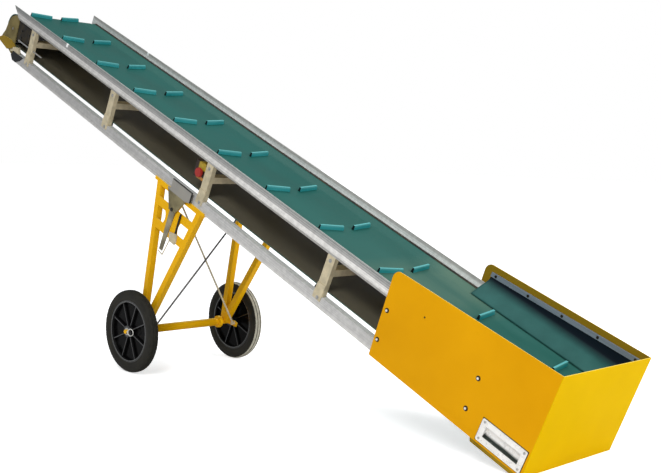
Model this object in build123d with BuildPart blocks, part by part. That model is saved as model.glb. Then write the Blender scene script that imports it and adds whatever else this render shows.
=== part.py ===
from build123d import *
from math import atan, cos, pi, radians, sin, tan
import os

# Mobile belt conveyor. Units are mm, +Z is up, +X runs down the slope to the feed hopper,
# -Y is the operator's side. Belt-frame sizes are given as u (down the slope from the axle),
# v (across, as Y) and w (square to the belt, up from the axle).

# Stance and wheels
INCLINE = 23.56
WHEEL_R = 200.0
TYRE_HIGH = 50.0
TYRE_WIDTH = 50.0
RIM_WALL = 9.0
RIB_COUNT = 8
HUB_R = 28.0
HUB_LONG = 57.0
AXLE_R = 15.0
STUB_R = 10.0
COLLAR_R = 30.0
RUNNING_GAP = 0.05
SEAT_GAP = 0.3

# Belt and drums
BELT_WIDTH = 482.0
BELT_THICK = 4.0
BELT_FLAT = 183.0
TROUGH_ANGLE = 12.4
TROUGH_RUN = 30.0
DRUM_R = 78.0
DRUM_EDGE = 11.0
SHAFT_R = 15.0
HEAD_U = -1828.0
TAIL_CLEAR = 106.0
CLEAT_LONG = 126.0
CLEAT_THICK = 14.0
CLEAT_HIGH = 20.0
CLEAT_V = 91.0
CLEAT_TILT = 10.0
CLEAT_ROWS = 22

# Frame, from the chords up
CHORD_LOW_W = 728.0
CHORD_HIGH = 51.0
CHORD_THICK = 30.0
CHORD_WALL = 3.0
NOSE_CHEEK = 2.0
RETURN_GAP = 20.5
PLATE_THICK = 6.0
PLATE_GAP = 2.0
POST_THICK = 22.0
POST_LONG = 46.0
POST_HEAD = 255.0
POST_STEP = 860.0
FOOT_THICK = 3.0
BEAM_HIGH = 30.0
BEAM_LONG = 40.0
BEAM_WALL = 2.5
RAIL_THICK = 15.0
RAIL_JOINT_U = -1230.0
RAIL_SLANT = 92.0
BED_SHEET = 2.0
ROLLER_R = 26.0
ROLLER_LONG = 20.0
ROLLER_OFF = 45.0
COVER_SHEET = 3.0
LIP_SHEET = 3.0

# Feed hopper
HOPPER_GAP = 17.0
SHEET = 2.5
HOPPER_LONG = 791.0
HOPPER_CORNER_R = 34.0
HEAD_EDGE_LEAN = 24.0
HOPPER_LEAN = 10.1
SKIRT_THICK = 3.0
STRIP_DROP = 26.0
STRIP_HIGH = 20.0
STRIP_THICK = 5.0
CUP_LONG = 166.0
CUP_HIGH = 46.0
CUP_DEEP = 14.0
CUP_WALL = 1.5
SKID_WIDE = 20.0

# Undercarriage
LEG = 30.0
LEG_TOP_U = 167.6
LEG_SPREAD = 0.2273
SADDLE_LIP = 5.0
LADDER_SHEET = 5.0
CLAMP_THICK = 5.0
BRACE_R = 4.5
EYE_R = 9.0
EYE_THICK = 16.0

COS = cos(radians(INCLINE))
SIN = sin(radians(INCLINE))

# Heights that follow, square to the belt
CHORD_TOP_W = CHORD_LOW_W + CHORD_HIGH
RETURN_LOW_W = CHORD_TOP_W + RETURN_GAP
BELT_R = DRUM_R + BELT_THICK
DRUM_W = RETURN_LOW_W + BELT_R
BELT_TOP_W = DRUM_W + BELT_R
BELT_LOW_W = BELT_TOP_W - BELT_THICK
RAIL_LOW_W = BELT_LOW_W - 2.5
BEAM_LOW_W = DRUM_W - 11.5
PLATE_TOP_W = RAIL_LOW_W - 12
HOPPER_LOW_W = CHORD_LOW_W - 6
HOPPER_HEAD_TOP_W = BELT_TOP_W + 121.5
HOPPER_TAIL_TOP_W = BELT_TOP_W + 162.5
LEG_TOP_W = CHORD_LOW_W - 8

# Places that follow, across
PLATE_IN = BELT_WIDTH / 2 + PLATE_GAP
PLATE_OUT = PLATE_IN + PLATE_THICK
POST_IN = PLATE_IN
CHORD_OUT = POST_IN + POST_THICK
CHORD_IN = CHORD_OUT - CHORD_THICK
RAIL_IN = CHORD_OUT - RAIL_THICK
WALL_IN = CHORD_OUT + HOPPER_GAP
HOPPER_OUT = WALL_IN + SHEET
LEG_OUT = CHORD_OUT + SADDLE_LIP
LEG_IN = LEG_OUT - LEG
WHEEL_Y = LEG_OUT + 51
HUB_IN = WHEEL_Y - 33
HUB_OUT = HUB_IN + HUB_LONG
AXLE_END_Y = HUB_OUT + 13

# Places that follow, along the slope. The hopper's tail edge stands on the floor.
HOPPER_TAIL_U = (WHEEL_R + HOPPER_LOW_W * COS) / SIN
HOPPER_TAIL_TOP_U = HOPPER_TAIL_U - HOPPER_LEAN
HOPPER_HEAD_U = HOPPER_TAIL_U - HOPPER_LONG
HOPPER_HEAD_TOP_U = HOPPER_HEAD_U - HEAD_EDGE_LEAN
TAIL_U = HOPPER_TAIL_U - TAIL_CLEAR
CHORD_HEAD_U = HEAD_U + 131
CHORD_TAIL_U = TAIL_U + 60
RAIL_HEAD_U = HEAD_U - 17
RAIL_TAIL_U = HOPPER_HEAD_U + 20
POST_U = [HEAD_U + POST_HEAD + i * POST_STEP for i in range(4)]
LIP_TIP_U = HEAD_U - 140
LIP_TIP_W = DRUM_W - 101.5
HEAD_X = LIP_TIP_U * COS + LIP_TIP_W * SIN
TAIL_X = HOPPER_TAIL_TOP_U * COS + HOPPER_TAIL_TOP_W * SIN
AXLE_X = -(HEAD_X + TAIL_X) / 2
DOWN_SLOPE = (COS, 0, -SIN)
SIDES = (("near", -1), ("far", 1))

os.makedirs("parts", exist_ok=True)


def side_plane(v):
    """Sketch plane for outlines in (u, w) at a given v, facing the near side."""
    return Plane(origin=(AXLE_X, v, WHEEL_R), x_dir=DOWN_SLOPE, z_dir=(0, -1, 0))


def cross_plane(u):
    """Sketch plane for sections in (v, w) at a given u, facing the hopper."""
    origin = (AXLE_X + u * COS, 0, WHEEL_R - u * SIN)
    return Plane(origin=origin, x_dir=(0, 1, 0), z_dir=DOWN_SLOPE)


def deck_plane(w):
    """Sketch plane parallel to the belt, for outlines in (u, v) at a given w."""
    origin = (AXLE_X + w * SIN, 0, WHEEL_R + w * COS)
    return Plane(origin=origin, x_dir=DOWN_SLOPE, z_dir=(SIN, 0, COS))


def place(u, v, w):
    """Point in the row's frame for a belt-frame place."""
    return Vector(AXLE_X + u * COS + w * SIN, v, WHEEL_R - u * SIN + w * COS)


def from_point(u, w, offsets):
    """Outline points given as offsets along and square to the belt."""
    return [(u + du, w + dw) for du, dw in offsets]


def save(builder, label):
    """Name a finished sub-part and write its STEP file."""
    builder.part.label = label
    export_step(builder.part, f"parts/{label}.step")


def belt_wing(side, angle):
    """Outline of one edge of the carrying run in (v, w), turned up by angle."""
    wing_long = BELT_WIDTH / 2 - BELT_FLAT
    edge_v = BELT_FLAT + wing_long * cos(radians(angle))
    edge_w = BELT_TOP_W + wing_long * sin(radians(angle))
    return [
        (side * BELT_FLAT, BELT_TOP_W),
        (side * edge_v, edge_w),
        (side * edge_v, edge_w - BELT_THICK),
        (side * BELT_FLAT, BELT_LOW_W),
    ]


# Belt: one endless loop, troughed on the carrying run, with paired V cleats all round
trough_start = HEAD_U + TROUGH_RUN
trough_end = TAIL_U - TROUGH_RUN
loop_length = 2 * (TAIL_U - HEAD_U) + 2 * pi * (DRUM_R + BELT_THICK / 2)
cleat_pitch = loop_length / CLEAT_ROWS
cleat_steps = range(CLEAT_ROWS // 2)
with BuildPart() as belt:
    with BuildSketch(side_plane(0)):
        with Locations(((HEAD_U + TAIL_U) / 2, BELT_TOP_W - BELT_THICK / 2)):
            Rectangle(TAIL_U - HEAD_U, BELT_THICK)
    extrude(amount=BELT_FLAT, both=True)
    for side in (-1, 1):
        with BuildSketch(cross_plane(trough_start)):
            Polygon(*belt_wing(side, TROUGH_ANGLE), align=None)
        extrude(amount=trough_end - trough_start)
        for u_flat, u_trough in ((HEAD_U, trough_start), (TAIL_U, trough_end)):
            with BuildSketch(cross_plane(u_flat)):
                Polygon(*belt_wing(side, 0), align=None)
            with BuildSketch(cross_plane(u_trough)):
                Polygon(*belt_wing(side, TROUGH_ANGLE), align=None)
            loft(ruled=True)
    for u_drum, start in ((HEAD_U, 90), (TAIL_U, -90)):
        with BuildSketch(side_plane(0)):
            with BuildLine():
                outer = CenterArc((u_drum, DRUM_W), BELT_R, start, 180)
                inner = CenterArc((u_drum, DRUM_W), DRUM_R, start, 180)
                Line(outer @ 0, inner @ 0)
                Line(outer @ 1, inner @ 1)
            make_face()
        extrude(amount=BELT_WIDTH / 2, both=True)
    with BuildSketch(side_plane(0)):
        with Locations(((HEAD_U + TAIL_U) / 2, RETURN_LOW_W + BELT_THICK / 2)):
            Rectangle(TAIL_U - HEAD_U, BELT_THICK)
    extrude(amount=BELT_WIDTH / 2, both=True)
    for side in (-1, 1):
        with BuildSketch(deck_plane(BELT_TOP_W)):
            with Locations([(HEAD_U + i * cleat_pitch, side * CLEAT_V) for i in cleat_steps]):
                Rectangle(CLEAT_THICK, CLEAT_LONG, rotation=side * CLEAT_TILT)
        extrude(amount=CLEAT_HIGH, taper=8)
        with BuildSketch(deck_plane(RETURN_LOW_W)):
            with Locations([(TAIL_U - i * cleat_pitch, side * CLEAT_V) for i in cleat_steps]):
                Rectangle(CLEAT_THICK, CLEAT_LONG, rotation=-side * CLEAT_TILT)
        extrude(amount=-CLEAT_HIGH, taper=8)
save(belt, "belt")

# Drums on through shafts, carried by plates at both ends of the frame
for name, u_drum in (("head_drum", HEAD_U), ("tail_drum", TAIL_U)):
    with BuildPart() as drum:
        with BuildSketch(side_plane(0)):
            with Locations((u_drum, DRUM_W)):
                Circle(DRUM_R)
        extrude(amount=BELT_WIDTH / 2 - DRUM_EDGE, both=True)
        with BuildSketch(side_plane(0)):
            with Locations((u_drum, DRUM_W)):
                Circle(SHAFT_R)
        extrude(amount=PLATE_OUT, both=True)
    save(drum, name)

# Bed sheet under the carrying run, bent up along both edges like the belt
bed_out = RAIL_IN
bed_in = RAIL_IN - BED_SHEET
bed_rise = (bed_in - BELT_FLAT) * tan(radians(TROUGH_ANGLE))
bed_half = [
    (BELT_FLAT, BELT_LOW_W),
    (bed_in, BELT_LOW_W + bed_rise),
    (bed_out, BELT_LOW_W + bed_rise),
    (bed_out, RAIL_LOW_W + 1),
    (bed_in, RAIL_LOW_W + 1),
    (bed_in, BELT_LOW_W + bed_rise - BED_SHEET - 0.4),
    (BELT_FLAT, BELT_LOW_W - BED_SHEET - 0.4),
]
with BuildPart() as belt_bed:
    with BuildSketch(cross_plane(trough_start)):
        Polygon(*bed_half, *[(-v, w) for v, w in reversed(bed_half)], align=None)
    extrude(amount=trough_end - trough_start)
save(belt_bed, "belt_bed")

# Side rails: hollow guards with a ribbed outer face, in two lengths per side.
# Points are (in from the outer face, up from the lower edge). The near head end is cut
# back on a slant.
RAIL_SECTION = (
    (RAIL_THICK, 0),
    (0, 0),
    (0, 6),
    (1.8, 6.8),
    (2.6, 12),
    (1.4, 13),
    (1.8, 16),
    (3.2, 17),
    (6.6, 40),
    (5.4, 41),
    (5.8, 43.6),
    (7, 44.4),
    (8, 55),
    (12.5, 55),
    (RAIL_THICK, 15),
)
RAIL_CORE = ((12.5, 2.5), (4, 2.5), (5.6, 15), (9.2, 39), (11.1, 39))
for name, side in SIDES:
    outer_face = [(side * (CHORD_OUT - d), RAIL_LOW_W + w) for d, w in RAIL_SECTION]
    core = [(side * (CHORD_OUT - d), RAIL_LOW_W + w) for d, w in RAIL_CORE]
    for part_name, u0, u1 in (
        ("head", RAIL_HEAD_U, RAIL_JOINT_U),
        ("tail", RAIL_JOINT_U, RAIL_TAIL_U),
    ):
        with BuildPart() as rail:
            with BuildSketch(cross_plane(u0)):
                Polygon(*outer_face, align=None)
                Polygon(*core, align=None, mode=Mode.SUBTRACT)
            extrude(amount=u1 - u0)
            if name == "near" and part_name == "head":
                with BuildSketch(side_plane(-RAIL_IN)):
                    Polygon(
                        (RAIL_HEAD_U - 1, RAIL_LOW_W - 1),
                        (RAIL_HEAD_U - 1, RAIL_LOW_W + 55),
                        (RAIL_HEAD_U + RAIL_SLANT, RAIL_LOW_W - 1),
                        align=None,
                    )
                extrude(amount=RAIL_THICK, mode=Mode.SUBTRACT)
        save(rail, f"side_rail_{name}_{part_name}")

# Lower chords: box section, with a moulded nose on the head end
chord_mid_v = CHORD_OUT - CHORD_THICK / 2
chord_mid_w = (CHORD_LOW_W + CHORD_TOP_W) / 2
for name, side in SIDES:
    with BuildPart() as chord:
        with BuildSketch(cross_plane(CHORD_HEAD_U)):
            with Locations((side * chord_mid_v, chord_mid_w)):
                Rectangle(CHORD_THICK, CHORD_HIGH)
                Rectangle(
                    CHORD_THICK - 2 * CHORD_WALL,
                    CHORD_HIGH - 2 * CHORD_WALL,
                    mode=Mode.SUBTRACT,
                )
        extrude(amount=CHORD_TAIL_U - CHORD_HEAD_U)
    save(chord, f"chord_{name}")
    with BuildPart() as cap:
        with BuildSketch(side_plane(side * chord_mid_v)):
            Polygon(
                (CHORD_HEAD_U, CHORD_LOW_W),
                (CHORD_HEAD_U, CHORD_TOP_W),
                (CHORD_HEAD_U - 45, CHORD_TOP_W),
                (CHORD_HEAD_U - 64, CHORD_TOP_W - 29),
                (CHORD_HEAD_U - 39, CHORD_LOW_W),
                align=None,
            )
        extrude(amount=CHORD_THICK / 2, both=True)
        with BuildSketch(side_plane(side * CHORD_OUT)):
            Polygon(
                (CHORD_HEAD_U - 39, CHORD_LOW_W),
                (CHORD_HEAD_U, CHORD_LOW_W),
                (CHORD_HEAD_U + 40, CHORD_LOW_W + 22),
                (CHORD_HEAD_U + 74, CHORD_TOP_W),
                (CHORD_HEAD_U - 45, CHORD_TOP_W),
                (CHORD_HEAD_U - 64, CHORD_TOP_W - 29),
                align=None,
            )
        extrude(amount=-side * NOSE_CHEEK)
    save(cap, f"chord_cap_{name}")

# Posts with feet lapped over the chords, the bracket that carries each head cover,
# and the channel beams that tie the posts under the bed
cover_bracket = ((142, 0), (142, 12), (126, 34), (71, 18), (66, -1), (48, -1), (48, -13), (72, -6), (86, 0))
for name, side in SIDES:
    with BuildPart() as posts:
        for u_post in POST_U:
            with BuildSketch(cross_plane(u_post)):
                with Locations(
                    (side * (POST_IN + CHORD_OUT) / 2, (CHORD_TOP_W + RAIL_LOW_W) / 2)
                ):
                    Rectangle(POST_THICK, RAIL_LOW_W - CHORD_TOP_W)
            extrude(amount=POST_LONG / 2, both=True)
            half = POST_LONG / 2
            foot = ((-half, 50), (-half - 6, 0), (-half - 6, -20), (half - 4, -24), (half, 50))
            with BuildSketch(side_plane(side * CHORD_OUT)):
                Polygon(*from_point(u_post, CHORD_TOP_W, foot), align=None)
            extrude(amount=-side * FOOT_THICK)
        with BuildSketch(side_plane(side * (PLATE_OUT + COVER_SHEET))):
            Polygon(*from_point(HEAD_U, CHORD_TOP_W, cover_bracket), align=None)
        extrude(amount=-side * (CHORD_OUT - PLATE_OUT - COVER_SHEET))
    save(posts, f"posts_{name}")

with BuildPart() as cross_beams:
    for u_post in POST_U:
        with BuildSketch(side_plane(0)):
            with Locations((u_post, BEAM_LOW_W + BEAM_HIGH / 2)):
                Rectangle(BEAM_LONG, BEAM_HIGH)
                Rectangle(
                    BEAM_LONG - 2 * BEAM_WALL, BEAM_HIGH - 2 * BEAM_WALL, mode=Mode.SUBTRACT
                )
        extrude(amount=POST_IN, both=True)
save(cross_beams, "cross_beams")

# Short rollers that carry the edges of the return run beside the posts, clear of the cleats
roller_out = CHORD_IN - 9
for name, side in SIDES:
    with BuildPart() as rollers:
        for u_post in POST_U[1:]:
            with BuildSketch(side_plane(side * (roller_out - ROLLER_LONG))):
                with Locations((u_post - ROLLER_OFF, RETURN_LOW_W - ROLLER_R)):
                    Circle(ROLLER_R)
            extrude(amount=-side * ROLLER_LONG)
            with BuildSketch(side_plane(side * roller_out)):
                with Locations((u_post - ROLLER_OFF, RETURN_LOW_W - ROLLER_R)):
                    RegularPolygon(5, 6)
            extrude(amount=-side * (CHORD_IN - roller_out))
    save(rollers, f"return_rollers_{name}")

# Head end: bearing plates, covers and the lip that guards the drum
HEAD_COVER = (
    (57, 75),
    (30, 75),
    (12, 82),
    (-28, 62),
    (-48, 36),
    (-63, -2),
    (-73, -35),
    (-98, -72),
    (-60, -105),
    (-11, -117.5),
    (48, -138),
    (60, -124),
)
for name, side in SIDES:
    with BuildPart() as bearing_plate:
        with BuildSketch(side_plane(side * PLATE_IN)):
            Polygon(
                (HEAD_U - 34, DRUM_W - 43.5),
                (POST_U[0] - POST_LONG / 2, DRUM_W - 43.5),
                (POST_U[0] - POST_LONG / 2, PLATE_TOP_W),
                (HEAD_U - 34, PLATE_TOP_W),
                align=None,
            )
            with Locations((HEAD_U, DRUM_W)):
                Circle(SHAFT_R + RUNNING_GAP, mode=Mode.SUBTRACT)
        extrude(amount=-side * PLATE_THICK)
    save(bearing_plate, f"head_bearing_{name}")
    with BuildPart() as cover:
        with BuildSketch(side_plane(side * PLATE_OUT)):
            Polygon(*from_point(HEAD_U, DRUM_W, HEAD_COVER), align=None)
            with Locations((HEAD_U, DRUM_W)):
                Circle(9, mode=Mode.SUBTRACT)
            if name == "far":
                with Locations((HEAD_U, RAIL_LOW_W + 10)):
                    Rectangle(200, 20 + SEAT_GAP, mode=Mode.SUBTRACT)
        extrude(amount=-side * COVER_SHEET)
    save(cover, f"head_cover_{name}")

LIP_CHEEK = (
    (-13, -122.3),
    (25, -107.5),
    (62, -90.5),
    (67, -74.5),
    (17, -62.5),
    (-39, -64.5),
    (-87, -71.5),
    (-113, -87.5),
    (-139.5, -98.5),
)
cheek_in = PLATE_OUT + COVER_SHEET
with BuildPart() as wiper_lip:
    with BuildSketch(side_plane(0)):
        lip_back = from_point(HEAD_U, DRUM_W, ((-13, -125.3), (-13, -122.3)))
        Polygon(
            (LIP_TIP_U, LIP_TIP_W), *lip_back, (LIP_TIP_U + 0.5, LIP_TIP_W + 3), align=None
        )
    extrude(amount=cheek_in + LIP_SHEET, both=True)
    for side in (-1, 1):
        with BuildSketch(side_plane(side * cheek_in)):
            Polygon(*from_point(HEAD_U, DRUM_W, LIP_CHEEK), align=None)
        extrude(amount=-side * LIP_SHEET)
save(wiper_lip, "wiper_lip")

# Take-up screws along the head end, outside the bearing plates
SCREW_R = 4.0
SCREW_HEAD = 9.0
screw_v = PLATE_OUT + 7.5
screw_w = DRUM_W - 33.5
post_head_u = POST_U[0] - POST_LONG / 2
post_tail_u = POST_U[0] + POST_LONG / 2
for name, side in SIDES:
    with BuildPart() as screw:
        for u0, u1 in ((post_head_u - 116, post_head_u), (post_tail_u, post_tail_u + 93)):
            with BuildSketch(cross_plane(u0)):
                with Locations((side * screw_v, screw_w)):
                    Circle(SCREW_R)
            extrude(amount=u1 - u0)
        with BuildSketch(cross_plane(post_head_u - 116 - SCREW_HEAD)):
            with Locations((side * screw_v, screw_w)):
                RegularPolygon(7, 6)
        extrude(amount=SCREW_HEAD)
    save(screw, f"takeup_screw_{name}")

# Tail end: plates on the chords that carry the tail drum
for name, side in SIDES:
    with BuildPart() as tail_plate:
        with BuildSketch(side_plane(side * PLATE_IN)):
            with Locations((TAIL_U, (CHORD_TOP_W + PLATE_TOP_W) / 2)):
                Rectangle(110, PLATE_TOP_W - CHORD_TOP_W)
            with Locations((TAIL_U, DRUM_W)):
                Circle(SHAFT_R + RUNNING_GAP, mode=Mode.SUBTRACT)
        extrude(amount=-side * PLATE_THICK)
    save(tail_plate, f"tail_bearing_{name}")

# Feed hopper: sheet panels bolted to brackets on the chords, each with a recessed handle
hopper_side = (
    (HOPPER_HEAD_U, HOPPER_LOW_W),
    (HOPPER_TAIL_U - SHEET, HOPPER_LOW_W),
    (HOPPER_TAIL_TOP_U - SHEET, HOPPER_TAIL_TOP_W),
    (HOPPER_HEAD_TOP_U, HOPPER_HEAD_TOP_W),
)
handle_u = HOPPER_TAIL_U - 118
handle_w = HOPPER_LOW_W + 54
handle_long = CUP_LONG + 42
handle_high = CUP_HIGH + 42
cup_long = CUP_LONG - 2 * CUP_WALL
cup_high = CUP_HIGH - 2 * CUP_WALL
for name, side in SIDES:
    with BuildPart() as panel:
        with BuildSketch(side_plane(side * HOPPER_OUT)) as outline:
            with BuildLine():
                Polyline(*hopper_side, close=True)
            make_face()
            top_corner = (HOPPER_HEAD_TOP_U, HOPPER_HEAD_TOP_W, 0)
            fillet(outline.vertices().sort_by_distance(top_corner)[0], HOPPER_CORNER_R)
            with Locations((handle_u, handle_w)):
                Rectangle(CUP_LONG, CUP_HIGH, mode=Mode.SUBTRACT)
        extrude(amount=side * SHEET)
    save(panel, f"hopper_side_{name}")
    with BuildPart() as brackets:
        for u_bracket in (HOPPER_HEAD_U + 18, handle_u - 186):
            with BuildSketch(side_plane(side * CHORD_OUT)):
                with Locations((u_bracket, (CHORD_LOW_W + PLATE_TOP_W) / 2)):
                    Rectangle(40, PLATE_TOP_W - CHORD_LOW_W)
            extrude(amount=-side * HOPPER_GAP)
    save(brackets, f"hopper_brackets_{name}")
    with BuildPart() as handle:
        with BuildSketch(side_plane(side * HOPPER_OUT)):
            with Locations((handle_u, handle_w)):
                RectangleRounded(handle_long, handle_high, 6)
                Rectangle(cup_long, cup_high, mode=Mode.SUBTRACT)
        extrude(amount=-side * CUP_WALL)
        with BuildSketch(side_plane(side * (HOPPER_OUT + CUP_WALL))):
            with Locations((handle_u, handle_w)):
                RectangleRounded(handle_long, handle_high, 6)
                RectangleRounded(handle_long - 8, handle_high - 8, 3, mode=Mode.SUBTRACT)
        extrude(amount=-side * 1.5)
        with BuildSketch(side_plane(side * HOPPER_OUT)):
            with Locations((handle_u, handle_w)):
                Rectangle(CUP_LONG - 0.4, CUP_HIGH - 0.4)
                Rectangle(cup_long, cup_high, mode=Mode.SUBTRACT)
        extrude(amount=side * CUP_DEEP)
        with BuildSketch(side_plane(side * (HOPPER_OUT - CUP_DEEP))):
            with Locations((handle_u, handle_w)):
                Rectangle(CUP_LONG - 0.4, CUP_HIGH - 0.4)
        extrude(amount=side * CUP_WALL)
    save(handle, f"hopper_handle_{name}")

with BuildPart() as hopper_end:
    with BuildSketch(side_plane(0)):
        Polygon(
            (HOPPER_TAIL_U - SHEET, HOPPER_LOW_W),
            (HOPPER_TAIL_U, HOPPER_LOW_W),
            (HOPPER_TAIL_TOP_U, HOPPER_TAIL_TOP_W),
            (HOPPER_TAIL_TOP_U - SHEET, HOPPER_TAIL_TOP_W),
            align=None,
        )
    extrude(amount=HOPPER_OUT, both=True)
save(hopper_end, "hopper_end")

# Skids folded under the hopper's sides
skid_outline = ((-245, 0), (-238, -14), (-44, -14), (-21, 0))
with BuildPart() as hopper_skids:
    for side in (-1, 1):
        with BuildSketch(side_plane(side * (HOPPER_OUT - SKID_WIDE))):
            Polygon(*from_point(HOPPER_TAIL_U, HOPPER_LOW_W, skid_outline), align=None)
        extrude(amount=-side * SKID_WIDE)
save(hopper_skids, "hopper_skids")

# Rubber skirts from the hopper's walls down to the belt, held by strips along the top
skirt_head_u = RAIL_TAIL_U
skirt_tail_u = HOPPER_TAIL_TOP_U - 18
top_rise = (HOPPER_TAIL_TOP_W - HOPPER_HEAD_TOP_W) / (HOPPER_TAIL_TOP_U - HOPPER_HEAD_TOP_U)
strip_in = WALL_IN - SKIRT_THICK
# Points are (out from the belt's flat, up from the belt), from the wall down to the belt
skirt_fall = ((66, 54.5), (38, 36), (17, 16), (3, 1.2))
skirt_back = ((6.5, 1.6), (20, 14.5), (40.5, 33.5), (68.5, 51.5))


def strip_top(u):
    """Height of the strip's top edge, a fixed drop below the wall's top."""
    return HOPPER_HEAD_TOP_W + top_rise * (u - HOPPER_HEAD_TOP_U) - STRIP_DROP


for name, side in SIDES:
    with BuildPart() as skirt:
        for u in (skirt_head_u, skirt_tail_u):
            with BuildSketch(cross_plane(u)):
                Polygon(
                    (side * WALL_IN, strip_top(u)),
                    (side * strip_in, strip_top(u)),
                    (side * strip_in, BELT_TOP_W + 66),
                    *[(side * (BELT_FLAT + v), BELT_TOP_W + w) for v, w in skirt_fall],
                    *[(side * (BELT_FLAT + v), BELT_TOP_W + w) for v, w in skirt_back],
                    (side * WALL_IN, BELT_TOP_W + 64),
                    align=None,
                )
        loft(ruled=True)
    save(skirt, f"hopper_skirt_{name}")
    with BuildPart() as strip:
        with BuildSketch(side_plane(side * strip_in)):
            Polygon(
                (skirt_head_u, strip_top(skirt_head_u)),
                (skirt_head_u, strip_top(skirt_head_u) - STRIP_HIGH),
                (skirt_tail_u, strip_top(skirt_tail_u) - STRIP_HIGH),
                (skirt_tail_u, strip_top(skirt_tail_u)),
                align=None,
            )
        extrude(amount=side * STRIP_THICK)
    save(strip, f"skirt_strip_{name}")

# Emergency stop on a bracket from the third post
stop_post_u = POST_U[2] - POST_LONG / 2
stop_w = DRUM_W + 10.5
with BuildPart() as stop_box:
    with BuildSketch(side_plane(-PLATE_OUT)):
        Polygon(
            (stop_post_u - 92, stop_w - 40),
            (stop_post_u, stop_w - 30),
            (stop_post_u, stop_w + 30),
            (stop_post_u - 92, stop_w + 42),
            align=None,
        )
    extrude(amount=3)
    with BuildSketch(side_plane(-PLATE_OUT)):
        with Locations((stop_post_u - 57, stop_w)):
            Rectangle(68, 80)
    extrude(amount=-50)
save(stop_box, "stop_box")
with BuildPart() as stop_button:
    with BuildSketch(side_plane(-PLATE_OUT - 3)):
        with Locations((stop_post_u - 41, stop_w - 4)):
            Circle(14)
    extrude(amount=10)
    with BuildSketch(side_plane(-PLATE_OUT - 13)):
        with Locations((stop_post_u - 41, stop_w - 4)):
            Circle(23)
    extrude(amount=10, taper=14)
save(stop_button, "stop_button")

# Undercarriage: saddles that slide under the chords, V legs and the axle beam
LEG_ANGLE = atan(LEG_SPREAD)
half_leg = LEG / 2 / cos(LEG_ANGLE)
foot_u = LEG_TOP_U - LEG_SPREAD * LEG_TOP_W
saddle_top_w = CHORD_LOW_W - SEAT_GAP
saddle_half = LEG_TOP_U + 38
brace_lug_v = LEG_IN
axle_lug_v = LEG_OUT + 1
brace_top = (-45.0, LEG_TOP_W - 16)
brace_low = (66.0, 18.0)
brace_step = -12.0
for name, side in SIDES:
    saddle_section = (
        (LEG_OUT, LEG_TOP_W),
        (LEG_OUT, CHORD_LOW_W + 8),
        (CHORD_OUT + SEAT_GAP, CHORD_LOW_W + 8),
        (CHORD_OUT + SEAT_GAP, saddle_top_w),
        (CHORD_IN - SEAT_GAP, saddle_top_w),
        (CHORD_IN - SEAT_GAP, CHORD_TOP_W - 21),
        (CHORD_IN - 4, CHORD_TOP_W - 21),
        (CHORD_IN - 4, LEG_TOP_W),
    )
    with BuildPart() as saddle:
        with BuildSketch(cross_plane(0)):
            Polygon(*[(side * v, w) for v, w in saddle_section], align=None)
        extrude(amount=saddle_half, both=True)
        with BuildSketch(side_plane(side * brace_lug_v)):
            Polygon(
                (brace_top[0] - 36, LEG_TOP_W),
                (brace_top[0] - 22, brace_top[1] - 14),
                (brace_top[0] + 10, brace_top[1] - 14),
                (brace_top[0] + 24, LEG_TOP_W),
                align=None,
            )
        extrude(amount=-side * 4)
    save(saddle, f"saddle_{name}")
    for end_name, end in (("head", -1), ("tail", 1)):
        with BuildPart() as leg:
            with BuildSketch(side_plane(side * (LEG_OUT - LEG / 2))):
                Polygon(
                    (end * (LEG_TOP_U - half_leg), LEG_TOP_W),
                    (end * (LEG_TOP_U + half_leg), LEG_TOP_W),
                    (end * (foot_u + half_leg), 0),
                    (end * (foot_u - half_leg), 0),
                    align=None,
                )
                with Locations((-end * 50, 150)):
                    Rectangle(100 + SEAT_GAP, 400, mode=Mode.SUBTRACT)
                Circle(AXLE_R, mode=Mode.SUBTRACT)
            extrude(amount=LEG / 2, both=True)
        save(leg, f"leg_{name}_{end_name}")

with BuildPart() as axle:
    for radius, y_end in ((AXLE_R, HUB_IN - SEAT_GAP), (STUB_R, AXLE_END_Y)):
        with BuildSketch(side_plane(0)):
            Circle(radius)
        extrude(amount=y_end, both=True)
    for side in (-1, 1):
        with BuildSketch(side_plane(side * (LEG_IN - 35))):
            Circle(COLLAR_R)
        extrude(amount=-side * 15)
        with BuildSketch(side_plane(side * axle_lug_v)):
            Polygon((0, -12), (76, 6), (76, 30), (52, 30), (0, 12), align=None)
        extrude(amount=-side * 4)
save(axle, "axle")

# Ladder plate between the near legs, with windows that leave two rungs
ladder_low_w = LEG_TOP_W - 207
upper_window = (LEG_TOP_W - 9, LEG_TOP_W - 60)
lower_window = (LEG_TOP_W - 102, LEG_TOP_W - 164)


def leg_face_u(w):
    """Inner face of the tail-side leg at height w."""
    return LEG_TOP_U - LEG_SPREAD * (LEG_TOP_W - w) - half_leg


with BuildPart() as ladder_plate:
    with BuildSketch(side_plane(-LEG_OUT)):
        Polygon(
            (leg_face_u(LEG_TOP_W), LEG_TOP_W),
            (leg_face_u(ladder_low_w), ladder_low_w),
            (-leg_face_u(ladder_low_w), ladder_low_w),
            (-leg_face_u(LEG_TOP_W), LEG_TOP_W),
            align=None,
        )
        for end in (-1, 1):
            top, low = upper_window
            Polygon(
                (end * 50, top),
                (end * (leg_face_u(top) + 1), top),
                (end * (leg_face_u(low) + 1), low),
                (end * 25, low),
                align=None,
                mode=Mode.SUBTRACT,
            )
            top, low = lower_window
            with BuildLine():
                Line((end * 66, top), (end * (leg_face_u(top) + 1), top))
                Line((end * (leg_face_u(top) + 1), top), (end * (leg_face_u(low) + 1), low))
                Line((end * (leg_face_u(low) + 1), low), (end * 62, low))
                ThreePointArc((end * 62, low), (end * 54, low + 32), (end * 66, top))
            make_face(mode=Mode.SUBTRACT)
    extrude(amount=-LADDER_SHEET)
save(ladder_plate, "ladder_plate")

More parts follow.
